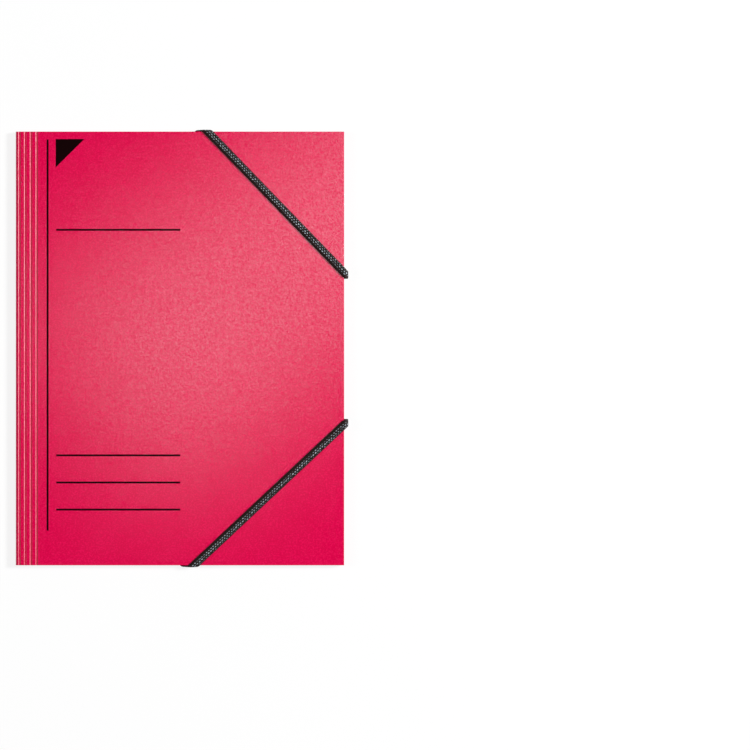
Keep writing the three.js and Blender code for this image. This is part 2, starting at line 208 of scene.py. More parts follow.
class FolderPrint(bpy.types.PropertyGroup):
    """The black lines and the corner triangle on the cover."""
    line: length("Line width", "Width of the printed lines", 1.4)
    ink: length("Ink", "How far the ink film stands off the card", 0.02)
    upright: length("Upright line", "From the spine's nose to the middle of the upright line", 23.64)
    lines_from: length("Lines start", "From the spine's nose to the left ends of the level lines", 30.0)
    lines_to: length("Lines end", "From the spine's nose to the right ends of the level lines", 121.5)
    corner_width: length("Corner width", "Length of the triangle's level side", 21.1)
    corner_height: length("Corner height", "Length of the triangle's upright side", 20.9)


class FolderElastic(bpy.types.PropertyGroup):
    """The two braided bands."""
    width: length("Width", "Width of the flat band", 5.9)
    thickness: length("Thickness", "Thickness of the flat band", 1.1)
    rib: length("Rib", "From one lengthwise rib to the next", 1.5)
    plait: length("Plait", "Length of one crossing of the yarn", 2.3)
    relief: length("Relief", "Depth between the plaits", 0.16)
    rows_per_plait: IntProperty(name="Rows per plait", description="Rows of the mesh along one plait",
                                default=9, min=4, max=16)


class FolderColours(bpy.types.PropertyGroup):
    """Colours of the card, the ink, the elastic and the clips."""
    card: colour("Card", "Dyed pressboard", "#DD0048")
    # The paler colour is partly the fibre's own and partly painted sheen, the mottle of the gloss haze
    card_pale_and_sheen: colour("Card fibre", "Paler fibres in the pressboard", "#EF165A")
    # Painted highlight on the first wall of each score
    card_wall_highlight: colour("Worn card", "Crushed fibre on the first wall of a score", "#A6666F")
    # Painted shade on the second wall of each score
    card_wall_shade: colour("Rubbed card", "Browned fibre on the second wall of a score", "#7A6A42")
    ink: colour("Ink", "Black offset ink", "#080101")
    # Painted highlight: the plaits' crests take this pale colour for the light they catch, though the yarn
    # is black
    yarn_sheen: colour("Yarn", "Polyester yarn on the plaits", "#CBDCE6")
    yarn_deep: colour("Yarn between plaits", "Yarn in the gaps of the braid", "#180B07")
    metal: colour("Clip", "Nickel plating", "#C4C3BD")


class FolderStage(bpy.types.PropertyGroup):
    """Floor, lamps and camera."""
    floor_size: length("Floor", "Side of the floor", 6000)
    camera_height: length("Camera height", "Height of the camera above the cover", 3074.3)
    key_power: power("Key lamp", "Power of the lamp at the upper right", 260.0)
    left_power: power("Left lamp", "Power of the weak lamp at the left", 42.0)
    overhead_power: power("Overhead lamp", "Power of the softbox overhead", 1.10)


# Materials

def linear(hex_value):
    """Linear colour of an sRGB hex value."""
    srgb = np.array([int(hex_value[i:i + 2], 16) for i in (1, 3, 5)]) / 255
    values = np.where(srgb <= 0.04045, srgb / 12.92, ((srgb + 0.055) / 1.055) ** 2.4)
    return (*values.tolist(), 1.0)


def add_node(tree, kind, settings=None, inputs=None):
    """Adds one node. Settings are its own properties. Inputs are values or output sockets, by name or by
    number."""
    node = tree.nodes.new(kind)
    for key, value in (settings or {}).items():
        setattr(node, key, value)
    for key, value in (inputs or {}).items():
        if isinstance(value, bpy.types.NodeSocket):
            tree.links.new(value, node.inputs[key])
        else:
            node.inputs[key].default_value = value
    return node


def material_of(name, shade):
    """A material by its name, made the first time it is asked for. A function of its node tree and of the
    folder's colours adds the nodes and gives the shader's socket."""
    if name in bpy.data.materials:
        return bpy.data.materials[name]
    material = bpy.data.materials.new(name)
    material.use_nodes = True
    tree = material.node_tree
    tree.nodes.clear()
    output = tree.nodes.new("ShaderNodeOutputMaterial")
    tree.links.new(shade(tree, bpy.context.scene.folder_colours), output.inputs["Surface"])
    return material


def pressboard(tree, colours):
    """Dyed pressboard, pressed from rag fibre and calendered. It gives a saturated body colour under a
    soft haze of gloss, with a fine mottle of paler fibre flocks whose paler colour is partly painted sheen.
    The walls of a score are rougher, and light is painted on them: the first wall gets a pale painted
    highlight, and the second a brown painted shade."""
    place = add_node(tree, "ShaderNodeTexCoord").outputs["Object"]
    # Flocks of fibre are about 1.2 mm across, and the tone varies at random over stretches of about 2 cm;
    # the paler colour they mix in is partly painted sheen
    flocks = add_node(tree, "ShaderNodeTexNoise", inputs={
        "Vector": place, "Scale": 820.0, "Detail": 3.0, "Roughness": 0.65})
    clouds = add_node(tree, "ShaderNodeTexNoise", inputs={
        "Vector": place, "Scale": 55.0, "Detail": 2.0, "Roughness": 0.5})
    fine = add_node(tree, "ShaderNodeMath", {"operation": "MULTIPLY"}, {0: flocks.outputs["Fac"], 1: 0.93})
    tone = add_node(tree, "ShaderNodeMath", {"operation": "MULTIPLY_ADD"}, {
        0: clouds.outputs["Fac"], 1: 0.07, 2: fine.outputs[0]})
    spread = add_node(tree, "ShaderNodeMapRange", inputs={
        "Value": tone.outputs[0], "From Min": 0.46, "From Max": 0.64, "To Min": 0.0, "To Max": 1.0})
    body = add_node(tree, "ShaderNodeMix", {"data_type": "RGBA"}, {
        0: spread.outputs["Result"], 6: linear(colours.card), 7: linear(colours.card_pale_and_sheen)})
    # The calendered skin rises and falls by a few hundredths of a millimetre, over 0.9 mm
    skin = add_node(tree, "ShaderNodeTexNoise", inputs={
        "Vector": place, "Scale": 1080.0, "Detail": 2.0, "Roughness": 0.6})
    bump = add_node(tree, "ShaderNodeBump", inputs={
        "Height": skin.outputs["Fac"], "Strength": 0.36, "Distance": 0.0001})
    gloss = add_node(tree, "ShaderNodeMapRange", inputs={
        "Value": flocks.outputs["Fac"], "From Min": 0.3, "From Max": 0.7, "To Min": 0.14, "To Max": 0.17})
    rim = add_node(tree, "ShaderNodeAttribute", {"attribute_name": "rim"}).outputs["Fac"]
    # The painted highlight on the first walls varies in strength at random, over stretches of about 7 cm
    highlight_noise = add_node(tree, "ShaderNodeTexNoise", inputs={"Vector": place, "Scale": 14.0, "Detail": 1.0})
    strength = add_node(tree, "ShaderNodeMapRange", inputs={
        "Value": highlight_noise.outputs["Fac"], "From Min": 0.4, "From Max": 0.6, "To Min": 0.6, "To Max": 1.0})
    # Painted highlight on the first wall of each score and painted shade on its second wall, mixed into the
    # base colour
    first_wall = add_node(tree, "ShaderNodeMath", {"operation": "MULTIPLY", "use_clamp": True}, {
        0: rim, 1: strength.outputs["Result"]})
    second_wall = add_node(tree, "ShaderNodeMath", {"operation": "MULTIPLY", "use_clamp": True}, {
        0: rim, 1: -0.7})
    with_wall_shade = add_node(tree, "ShaderNodeMix", {"data_type": "RGBA"}, {
        0: second_wall.outputs[0], 6: body.outputs[2], 7: linear(colours.card_wall_shade)})
    with_painted_light = add_node(tree, "ShaderNodeMix", {"data_type": "RGBA"}, {
        0: first_wall.outputs[0], 6: with_wall_shade.outputs[2], 7: linear(colours.card_wall_highlight)})
    either = add_node(tree, "ShaderNodeMath", {"operation": "ABSOLUTE"}, {0: rim})
    dulled = add_node(tree, "ShaderNodeMix", {"data_type": "FLOAT"}, {
        0: either.outputs[0], 2: gloss.outputs["Result"], 3: 0.6})
    fibre = add_node(tree, "ShaderNodeBsdfPrincipled", inputs={
        "Base Color": with_painted_light.outputs[2], "Roughness": 0.9, "Normal": bump.outputs["Normal"], "IOR": 1.5,
        "Specular IOR Level": 0.0})
    # The calender's gloss ends sharply, and it is stronger on one flock than on the next
    shine = add_node(tree, "ShaderNodeBsdfAnisotropic", {"distribution": "BECKMANN"}, {
        "Color": (1, 1, 1, 1), "Roughness": dulled.outputs[0], "Normal": bump.outputs["Normal"]})
    facing = add_node(tree, "ShaderNodeFresnel", inputs={"IOR": 1.5, "Normal": bump.outputs["Normal"]})
    patchy = add_node(tree, "ShaderNodeMapRange", inputs={
        "Value": skin.outputs["Fac"], "From Min": 0.35, "From Max": 0.65, "To Min": 0.35, "To Max": 1.65})
    share = add_node(tree, "ShaderNodeMath", {"operation": "MULTIPLY"}, {
        0: facing.outputs[0], 1: patchy.outputs["Result"]})
    # Open fibre between the flocks keeps it from turning into a mirror at low angles
    limit = add_node(tree, "ShaderNodeMath", {"operation": "MINIMUM"}, {0: share.outputs[0], 1: 0.2})
    shader = add_node(tree, "ShaderNodeMixShader", inputs={
        0: limit.outputs[0], 1: fibre.outputs["BSDF"], 2: shine.outputs["BSDF"]})
    return shader.outputs["Shader"]


def offset_ink(tree, colours):
    """Black offset ink, rolled on in a thin film that dries nearly matt and lets a little of the card's
    mottle through, in specks of 0.9 mm."""
    place = add_node(tree, "ShaderNodeTexCoord").outputs["Object"]
    mottle = add_node(tree, "ShaderNodeTexNoise", inputs={
        "Vector": place, "Scale": 1100.0, "Detail": 2.0, "Roughness": 0.6})
    body = add_node(tree, "ShaderNodeMix", {"data_type": "RGBA"}, {
        0: mottle.outputs["Fac"], 6: linear(colours.ink), 7: linear("#180305")})
    bump = add_node(tree, "ShaderNodeBump", inputs={
        "Height": mottle.outputs["Fac"], "Strength": 0.2, "Distance": 0.00005})
    shader = add_node(tree, "ShaderNodeBsdfPrincipled", inputs={
        "Base Color": body.outputs[2], "Roughness": 0.7, "Normal": bump.outputs["Normal"], "IOR": 1.5,
        "Specular IOR Level": 0.03})
    return shader.outputs["BSDF"]


def braided_elastic(tree, colours):
    """Rubber cores braided over with black polyester yarn. The light that the plaits' crests catch is
    painted into the base colour as rows of grey specks, and the gaps between them stay black."""
    crest = add_node(tree, "ShaderNodeAttribute", {"attribute_name": "crest"}).outputs["Fac"]
    place = add_node(tree, "ShaderNodeUVMap", {"uv_map": "strip"}).outputs["UV"]
    # The painted highlight is stronger on one plait than on the next, at random over 1.25 mm
    speck_noise = add_node(tree, "ShaderNodeTexNoise", {"noise_dimensions": "2D"}, {
        "Vector": place, "Scale": 0.8, "Detail": 3.0, "Roughness": 0.8})
    lit = add_node(tree, "ShaderNodeMath", {"operation": "MULTIPLY"}, {
        0: crest, 1: speck_noise.outputs["Fac"]})
    fade = add_node(tree, "ShaderNodeMapRange", inputs={
        "Value": lit.outputs[0], "From Min": 0.34, "From Max": 0.56, "To Min": 0.0, "To Max": 1.0})
    body = add_node(tree, "ShaderNodeMix", {"data_type": "RGBA"}, {
        0: fade.outputs["Result"], 6: linear(colours.yarn_deep), 7: linear(colours.yarn_sheen)})
    bump = add_node(tree, "ShaderNodeBump", inputs={
        "Height": speck_noise.outputs["Fac"], "Strength": 0.3, "Distance": 0.0001})
    shader = add_node(tree, "ShaderNodeBsdfPrincipled", inputs={
        "Base Color": body.outputs[2], "Roughness": 0.6, "Normal": bump.outputs["Normal"], "IOR": 1.5,
        "Specular IOR Level": 0.2, "Sheen Weight": 0.05, "Sheen Roughness": 0.4})
    return shader.outputs["BSDF"]


def plated_strip(tree, colours):
    """Nickel-plated steel strip, stamped and bent. It shows soft reflections, drawn out by fine lines that
    rolling left in the strip."""
    place = add_node(tree, "ShaderNodeTexCoord").outputs["Object"]
    # Rolling lines 0.15 mm apart
    drawn = add_node(tree, "ShaderNodeMapping", inputs={"Vector": place, "Scale": (1.0, 12.0, 1.0)})
    lines = add_node(tree, "ShaderNodeTexNoise", inputs={
        "Vector": drawn.outputs["Vector"], "Scale": 550.0, "Detail": 2.0})
    gloss = add_node(tree, "ShaderNodeMapRange", inputs={
        "Value": lines.outputs["Fac"], "From Min": 0.3, "From Max": 0.7, "To Min": 0.22, "To Max": 0.4})
    tone = add_node(tree, "ShaderNodeMix", {"data_type": "RGBA"}, {
        0: lines.outputs["Fac"], 6: linear(colours.metal), 7: linear("#A9A8A3")})
    bump = add_node(tree, "ShaderNodeBump", inputs={
        "Height": lines.outputs["Fac"], "Strength": 0.15, "Distance": 0.00005})
    shader = add_node(tree, "ShaderNodeBsdfPrincipled", inputs={
        "Base Color": tone.outputs[2], "Metallic": 1.0, "Roughness": gloss.outputs["Result"],
        "Normal": bump.outputs["Normal"]})
    return shader.outputs["BSDF"]


# Shapes

def closed_sheet(outer, inner):
    """Points and quads of a closed sheet. Two grids of points are its two faces, and a wall joins their
    edges all round. If its volume comes out negative, every quad is turned over."""
    rows, columns = outer.shape[:2]
    points = np.concatenate([outer.reshape(-1, 3), inner.reshape(-1, 3)])
    index = np.arange(rows * columns).reshape(rows, columns)
    front = np.stack([index[:-1, :-1], index[1:, :-1], index[1:, 1:], index[:-1, 1:]], axis=-1)
    front = front.reshape(-1, 4)
    edge = np.concatenate([index[:-1, 0], index[-1, :-1], index[:0:-1, -1], index[0, :0:-1]])
    after = np.roll(edge, -1)
    below = rows * columns
    wall = np.stack([after, edge, edge + below, after + below], axis=-1)
    quads = np.concatenate([front, front[:, ::-1] + below, wall])
    return points, outward(points, quads)


def outward(points, quads):
    """The quads, turned over if the volume they enclose is negative. The volume is the sum of the
    tetrahedra from the middle of the points to each half of a quad."""
    corners = (points - points.mean(axis=0))[quads]
    first = np.einsum("ij,ij->i", corners[:, 0], np.cross(corners[:, 1], corners[:, 2]))
    second = np.einsum("ij,ij->i", corners[:, 0], np.cross(corners[:, 2], corners[:, 3]))
    return quads if (first + second).sum() > 0 else quads[:, ::-1]


def joined(sheets):
    """Several closed sheets as one set of points and quads."""
    counts = np.cumsum([0] + [len(points) for points, _ in sheets])
    points = np.concatenate([points for points, _ in sheets])
    quads = np.concatenate([quads + count for (_, quads), count in zip(sheets, counts)])
    return points, quads


def add_piece(name, shape, material, sharp_degrees=35.0):
    """A mesh object at the origin from points and quads, smooth but for edges past the angle."""
    points, quads = shape
    mesh = bpy.data.meshes.new(name)
    mesh.vertices.add(len(points))
    mesh.vertices.foreach_set("co", points.astype(np.float32).ravel())
    mesh.loops.add(quads.size)
    mesh.loops.foreach_set("vertex_index", quads.astype(np.int32).ravel())
    mesh.polygons.add(len(quads))
    mesh.polygons.foreach_set("loop_start", np.arange(0, quads.size, 4, dtype=np.int32))
    mesh.polygons.foreach_set("use_smooth", np.ones(len(quads), dtype=bool))
    mesh.update(calc_edges=True)
    mesh.validate()
    mesh.set_sharp_from_angle(angle=math.radians(sharp_degrees))
    mesh.materials.append(material)
    piece = bpy.data.objects.new(name, mesh)
    bpy.context.scene.collection.objects.link(piece)
    return piece


def round_edges(piece, width):
    """Rounds the cut edges of a sheet."""
    bevel = piece.modifiers.new("cut_edge", "BEVEL")
    bevel.width = width
    bevel.segments = 2
    bevel.limit_method = "ANGLE"
    bevel.angle_limit = math.radians(50)
    bevel.harden_normals = True


def add_card(name, card, shape):
    """One piece of card with its attribute of painted highlight and shade on the score walls, and its
    rounded cut edges.
    """
    points, quads, rim = shape
    piece = add_piece(name, (points, quads), material_of("dyed_pressboard", pressboard))
    piece.data.attributes.new("rim", "FLOAT", "POINT").data.foreach_set("value", rim.astype(np.float32))
    round_edges(piece, card.edge_round)
    return piece


def middle_line(distance, start, heading, runs):
    """Places and headings along a line of straight runs and round turns. Each run adds the part of the
    distance that lies in it: straight on by that part, or round an arc of its length over its turn."""
    across = np.full_like(distance, start[0])
    up = np.full_like(distance, start[1])
    angle = np.full_like(distance, heading)
    travelled = 0.0
    for run, turn in runs:
        part = np.clip(distance - travelled, 0, run)
        if turn == 0:
            across += part * math.cos(heading)
            up += part * math.sin(heading)
        else:
            radius = run / turn
            across += radius * (np.sin(heading + part / radius) - math.sin(heading))
            up -= radius * (np.cos(heading + part / radius) - math.cos(heading))
        angle += turn * part / run
        heading += turn
        travelled += run
    return across, up, angle


def pressed(distance, scores, width, depth):
    """How deep the sheet is pressed at each distance. Each score is a trough with a level bottom and two
    slanting walls, and the depth falls in a straight line over each wall."""
    offset = np.abs(distance[:, None] - np.asarray(scores)[None, :]) / width
    return (depth * np.clip((0.5 - offset) / WALL_SHARE, 0, 1)).sum(axis=1)


def sheet_section(card, distance, start, heading, runs, outer_side, scores):
    """The two faces of a folded and scored sheet in section: its middle line, moved half a thickness to
    either side along the line's normal, and both moved inward where a score is pressed."""
    across, up, angle = middle_line(distance, start, heading, runs)
    normal = outer_side * np.stack([-np.sin(angle), np.cos(angle)], axis=-1)
    depth = pressed(distance, scores, card.score_width, card.score_depth)[:, None]
    middle = np.stack([across, up], axis=-1)
    half = card.thickness / 2
    return middle + normal * (half - depth), middle - normal * (half + depth)


def wall_lights(card, distance, scores, columns):
    """How much painted light each point of a sheet's two faces gets from the scores: 1 on the first wall of
    a score, which gets a painted highlight, -1 on its second wall, which gets painted shade, and 0
    elsewhere. The mark is full about the middle of a wall and fades past its ends."""
    offset = (distance[:, None] - np.asarray(scores)[None, :]) / card.score_width
    wall = np.clip(1.6 - np.abs(np.abs(offset) - WALL_MIDDLE) / WALL_FADE, 0, 1)
    painted_walls = -(wall * np.sign(offset)).sum(axis=1)
    return np.tile(np.repeat(painted_walls, columns), 2)


def stations(card, runs, scores, extra=()):
    """Distances along a section at which it is worked out: close together in turns and scores."""
    ends = np.cumsum([0.0] + [run for run, _ in runs])
    spread = [np.linspace(a, b, 41 if turn else 2) for a, b, (_, turn) in zip(ends, ends[1:], runs)]
    troughs = [score + card.score_width * WALL_PLACES for score in scores]
    places = np.concatenate([*spread, *troughs, np.asarray(extra, dtype=float)])
    return np.unique(np.round(places[(places >= 0) & (places <= ends[-1])], 8))


def upright_sheet(section, low, high):
    """A closed sheet from a section in X and Z, carried along Y from a lower to an upper limit at each
    place of the section."""
    share = np.linspace(0, 1, SHEET_COLUMNS)[None, :]
    along = low[:, None] + (high - low)[:, None] * share
    faces = []
    for face in section:
        across = np.broadcast_to(face[:, :1] + CAD_LEFT, along.shape)
        level = np.broadcast_to(face[:, 1:], along.shape)
        faces.append(np.stack([across, along, level], axis=-1))
    return closed_sheet(*faces)


def levels(card):
    """Middle levels of the back panel, the folded flaps and the cover, and the middle radii of the spine
    and of the other folds."""
    back = BACK_UNDERSIDE + card.thickness / 2
    flap = back + FLAP_GAP + card.thickness
    cover = flap + COVER_GAP + card.thickness
    return back, flap, cover, (cover - back) / 2, (flap - back) / 2


def spine_scores(card):
    """Distances of the spine's scores from its nose."""
    return card.spine_first + card.score_pitch * np.arange(SPINE_SCORES)


def whole_height(card, section, distance, scores):
    """A closed sheet from a section, as high as the folder, with the painted highlight and shade of its
    score walls.
    """
    half = np.full(len(distance), card.height / 2)
    return *upright_sheet(section, -half, half), wall_lights(card, distance, scores, SHEET_COLUMNS)


def spine_shape(card):
    """The spine: a run on the back, a half-round nose and a run on the cover, with the first score on
    each side."""
    back, _, _, radius, _ = levels(card)
    centre = card.thickness / 2 + radius
    flat = SPINE_JOIN - centre
    runs = [(flat, 0.0), (math.pi * radius, -math.pi), (flat, 0.0)]
    whole = 2 * flat + math.pi * radius
    first = SPINE_JOIN - card.spine_first
    scores = [first, whole - first]
    distance = stations(card, runs, scores)
    section = sheet_section(card, distance, (SPINE_JOIN, back), math.pi, runs, 1, scores)
    return whole_height(card, section, distance, scores)


def cover_shape(card):
    """The cover: one flat run from the spine to its free edge, with the rest of the spine's scores."""
    _, _, cover, _, _ = levels(card)
    run = card.width - card.cover_inset - SPINE_JOIN
    scores = spine_scores(card)[1:] - SPINE_JOIN
    distance = stations(card, [(run, 0.0)], scores, np.linspace(0, run, 49))
    section = sheet_section(card, distance, (SPINE_JOIN, cover), 0.0, [(run, 0.0)], 1, scores)
    return whole_height(card, section, distance, scores)


def corner_cut(edge, radius):
    """How much a rounded corner takes off at a distance from the edge: the radius times the square of one
    less the root of the distance's share of the radius."""
    return radius * (1 - np.sqrt(np.clip(edge / radius, 0, 1))) ** 2


def back_shape(card):
    """The back panel and the side flap: a flat run, a half-round fold and a flat run back. The lower and
    upper limits leave out the roots of the end flaps, the relief notch and the flap's rounded corners.
    The notch's sides follow a parabola."""
    back, _, _, _, radius = levels(card)
    reach = radius + card.thickness / 2
    run = card.width - reach - SPINE_JOIN
    runs = [(run, 0.0), (math.pi * radius, math.pi), (card.side_flap - reach, 0.0)]
    before = run + math.pi * radius
    side_scores = before + card.side_first - reach + card.score_pitch * np.arange(SIDE_SCORES)
    scores = [*(spine_scores(card)[1:] - SPINE_JOIN), *side_scores]
    whole = before + card.side_flap - reach
    # A root starts and ends within a thousandth of a millimetre
    step = 1e-6
    roots = np.array([ROOT_LEFT - step, ROOT_LEFT, ROOT_RIGHT, ROOT_RIGHT + step]) - SPINE_JOIN
    notch = np.concatenate([NOTCH_START + NOTCH_SLOPE * np.linspace(0, 1, 9),
                            NOTCH_END - NOTCH_SLOPE * np.linspace(0, 1, 9)])
    flap_notch = whole - (notch - (card.width - card.side_flap))
    corners = whole - SIDE_FOOT_ROUND * np.linspace(0, 1, 15) ** 2
    extra = [*roots, *(notch - SPINE_JOIN), *flap_notch, *corners, *np.linspace(0, whole, 80)]
    distance = stations(card, runs, scores, extra)
    section = sheet_section(card, distance, (SPINE_JOIN, back), 0.0, runs, -1, scores)
    across = np.where(distance < run, SPINE_JOIN + distance, card.width - reach - (distance - before))
    across = np.where((distance >= run) & (distance <= before), card.width, across)
    on_back = distance < run
    half = np.full(len(distance), card.height / 2)
    rooted = on_back & (across > ROOT_LEFT - step / 2) & (across < ROOT_RIGHT + step / 2)
    root = np.where(rooted, reach, 0.0)
    into = np.clip(np.minimum(across - NOTCH_START, NOTCH_END - across) / NOTCH_SLOPE, 0, 1)
    notched = NOTCH_DEPTH * (1 - (1 - into) ** 2)
    edge = np.clip(across - (card.width - card.side_flap), 0, None)
    head = np.where(on_back, 0.0, corner_cut(edge, SIDE_HEAD_ROUND))
    foot = np.where(on_back, 0.0, corner_cut(edge, SIDE_FOOT_ROUND))
    high = half - np.maximum(root, head)
    low = -half + np.maximum.reduce([root, foot, notched])
    return *upright_sheet(section, low, high), wall_lights(card, distance, scores, SHEET_COLUMNS)


def rounded_corner(before, corner, after, radius):
    """Points of a corner rounded by a parabola between its two sides. It starts and ends a tangent's
    length from the corner."""
    before, corner, after = (np.array(point) for point in (before, corner, after))
    back = (before - corner) / np.linalg.norm(before - corner)
    ahead = (after - corner) / np.linalg.norm(after - corner)
    tangent = radius / math.tan(math.acos(float(np.clip(back @ ahead, -1, 1))) / 2)
    share = np.linspace(0, 1, 17)[:, None]
    start = corner + back * tangent
    end = corner + ahead * tangent
    return (1 - share) ** 2 * start + 2 * share * (1 - share) * corner + share ** 2 * end


def end_flap_shape(card, side, slant):
    """The head flap for side 1 or the foot flap for side -1: a half-round fold and a flat run towards the
    middle. Its left limit is straight, then slants in between two rounded corners. Its right limit is
    straight, and near the root it slants in by 0.8 of the slant's size over 1.6 of it."""
    back, _, _, _, radius = levels(card)
    reach = radius + card.thickness / 2
    half = card.height / 2
    runs = [(math.pi * radius, math.pi), (card.end_flap - reach, 0.0)]
    before = math.pi * radius
    scores = before + card.end_first - reach + card.score_pitch * np.arange(END_SCORES)
    tip = half - card.end_flap
    shoulder = (ROOT_LEFT, half - SHOULDER_DOWN)
    toe = (ROOT_LEFT + TOE_IN, tip)
    outline = np.concatenate([
        [[ROOT_LEFT, half]],
        rounded_corner((ROOT_LEFT, half), shoulder, toe, SHOULDER_ROUND),
        rounded_corner(shoulder, toe, (ROOT_RIGHT, tip), TOE_ROUND)])
    along_outline = before + half - reach - outline[:, 1]
    extra = [*along_outline, *(before + np.linspace(0, runs[1][0], 40))]
    distance = stations(card, runs, scores, extra)
    section = sheet_section(card, distance, (half - reach, back), 0.0, runs, -1, scores)
    place = np.where(distance < before, half, half - reach - (distance - before))
    left = np.interp(-place, -outline[:, 1], outline[:, 0])
    slanted = np.clip((place - (half - 1.6 * slant)) / (1.6 * slant), 0, 1)
    right = ROOT_RIGHT - slant * 0.8 * slanted
    share = np.linspace(0, 1, FLAP_COLUMNS)[None, :]
    across = left[:, None] + (right - left)[:, None] * share + CAD_LEFT
    faces = []
    for face in section:
        along = np.broadcast_to(side * face[:, :1], across.shape)
        level = np.broadcast_to(face[:, 1:], across.shape)
        faces.append(np.stack([across, along, level], axis=-1))
    return *closed_sheet(*faces), wall_lights(card, distance, scores, FLAP_COLUMNS)


def ink_patch(card, ink, top, bottom):
    """A flat film of ink on the cover between two level lines. Each line is its left end, its right end
    and its distance below the head."""
    _, _, cover, _, _ = levels(card)
    level = cover + card.thickness / 2
    share = np.linspace(0, 1, 9)
    sides = np.array(top)[None, :] + (np.array(bottom) - np.array(top))[None, :] * share[:, None]
    across = sides[:, :1] + (sides[:, 1:2] - sides[:, :1]) * share[None, :] + CAD_LEFT
    along = np.broadcast_to(card.height / 2 - sides[:, 2:], across.shape)
    upper = np.stack([across, along, np.full_like(across, level + ink)], axis=-1)
    lower = np.stack([across, along, np.full_like(across, level - ink)], axis=-1)
    return closed_sheet(upper, lower)


def band_route(card, elastic, side, along, across):
    """Route of a band in the flat, as in the CAD source: it crosses the head or foot edge and the
    right-hand fold at given distances from the corner, and turns square to the fold on a round arc."""
    thick = elastic.thickness
    front = levels(card)[2] + card.thickness / 2 + BAND_GAP + thick / 2
    rear = thick / 2
    height = front - rear
    start = np.array([card.width - along, side * card.height / 2])
    direction = np.array([along, -side * across]) / math.hypot(along, across)
    edge = {"bend": EDGE_BEND, "upright": height - 2 * EDGE_BEND,
            "from": card.height / 2 + EDGE_REACH - EDGE_BEND - thick / 2}
    fold = {"bend": height / 2, "upright": 0.0,
            "from": card.width + FOLD_REACH - height / 2 - thick / 2}
    for wrap in (edge, fold):
        wrap["length"] = math.pi * wrap["bend"] + wrap["upright"]
    rise = abs(direction[1])
    front_start = (edge["from"] - card.height / 2) / (side * direction[1])
    front_end = (fold["from"] - start[0]) / direction[0]
    turn_angle = math.atan2(across, along)
    turn_end = front_end + TURN_RADIUS * turn_angle
    offset = TURN_RADIUS * np.array([math.sin(turn_angle), side * math.cos(turn_angle)])
    turn_centre = start + direction * front_end + offset
    return {"side": side, "start": start, "direction": direction, "front": front, "rear": rear,
            "edge": edge, "fold": fold, "front_end": front_end, "turn_angle": turn_angle,
            "turn_end": turn_end, "turn_centre": turn_centre,
            "rear_start": front_start - (edge["length"] + REAR_RUN) / rise,
            "rear_end": turn_end + fold["from"] + fold["length"] + REAR_RUN - turn_centre[0]}


def flat_places(route, along, across):
    """Places of a band's points in the flat: on its straight front run, or round the arc that turns it
    square to the fold, or straight on past the arc."""
    side = route["side"]
    turned = np.clip(along - route["front_end"], 0, route["turn_end"] - route["front_end"]) / TURN_RADIUS
    heading = side * (turned - route["turn_angle"])
    cross = np.stack([-np.sin(heading), np.cos(heading)], axis=-1)
    straight = route["start"] + along[..., None] * route["direction"] + across[..., None] * cross
    round_arc = route["turn_centre"] + (across - side * TURN_RADIUS)[..., None] * cross
    round_arc[..., 0] += np.maximum(along - route["turn_end"], 0)
    return np.where((along <= route["front_end"])[..., None], straight, round_arc)


def round_edge(route, wrap, distance, lift):
    """Carries points round an edge: straight on before it, then a quarter bend, an upright run, a second
    quarter bend and the straight run underneath. It gives how far out and how high each point is."""
    bend, upright, whole = wrap["bend"], wrap["upright"], wrap["length"]
    radius = bend + lift
    quarter = bend * math.pi / 2
    first = np.clip(distance / bend, 0, math.pi / 2)
    second = np.clip((distance - quarter - upright) / bend, 0, math.pi / 2)
    drop = np.clip(distance - quarter, 0, upright)
    on_top = np.minimum(distance, 0)
    beneath = np.maximum(distance - whole, 0)
    out = on_top + radius * np.sin(first) * np.cos(second) - beneath
    upper = route["front"] - bend + radius * np.cos(first) - drop
    lower = route["rear"] + bend - radius * np.sin(second)
    return out, np.where(distance <= quarter + upright, upper, lower)


def band_places(route, along, across, lift):
    """Places in space of points of a band: along it, across it and above its middle layer. Past its rear
    runs it bends up through its slots."""
    beyond = np.maximum(route["rear_start"] - along, along - route["rear_end"])
    past = np.maximum(beyond, 0)
    angle = np.minimum(past / SLOT_BEND, math.pi / 2)
    risen = np.maximum(past - SLOT_BEND * math.pi / 2, 0)
    end = np.where(along < 0, route["rear_start"], route["rear_end"])
    outwards = np.where(along < 0, -1.0, 1.0)
    place = np.where(beyond > 0, end + outwards * (SLOT_BEND + lift) * np.sin(angle), along)
    height = np.where(beyond > 0, (SLOT_BEND + lift) * np.cos(angle) - SLOT_BEND - risen, lift)
    side = route["side"]
    flat_x, flat_y = np.moveaxis(flat_places(route, place, across), -1, 0)
    past_edge = side * flat_y - route["edge"]["from"]
    edge_out, edge_level = round_edge(route, route["edge"], past_edge, height)
    fold_out, fold_level = round_edge(route, route["fold"], flat_x - route["fold"]["from"], height)
    at_edge = past_edge > 0
    x = np.where(at_edge, flat_x, route["fold"]["from"] + fold_out)
    y = np.where(at_edge, side * (route["edge"]["from"] + edge_out), flat_y)
    return np.stack([x + CAD_LEFT, y, np.where(at_edge, edge_level, fold_level)], axis=-1)


def plaits(elastic, along, across):
    """Height of the braid from 0 to 1: lengthwise ribs on both sides of the middle, each crossed by
    slanted yarns whose slant and phase change from rib to rib, so that they read as plaits. It is the
    product of a cosine across the rib and a sine along it, both raised to 0.7 to make them plump."""
    rib = np.floor(across / elastic.rib)
    beside = across / elastic.rib - rib - 0.5
    slant = np.where(rib % 2 == 0, 1.0, -1.0)
    phase = along / elastic.plait + 0.5 * slant * beside + 0.5 * rib
    rise = np.abs(np.cos(np.pi * beside)) ** 0.7
    return rise * np.abs(np.sin(np.pi * phase)) ** 0.7


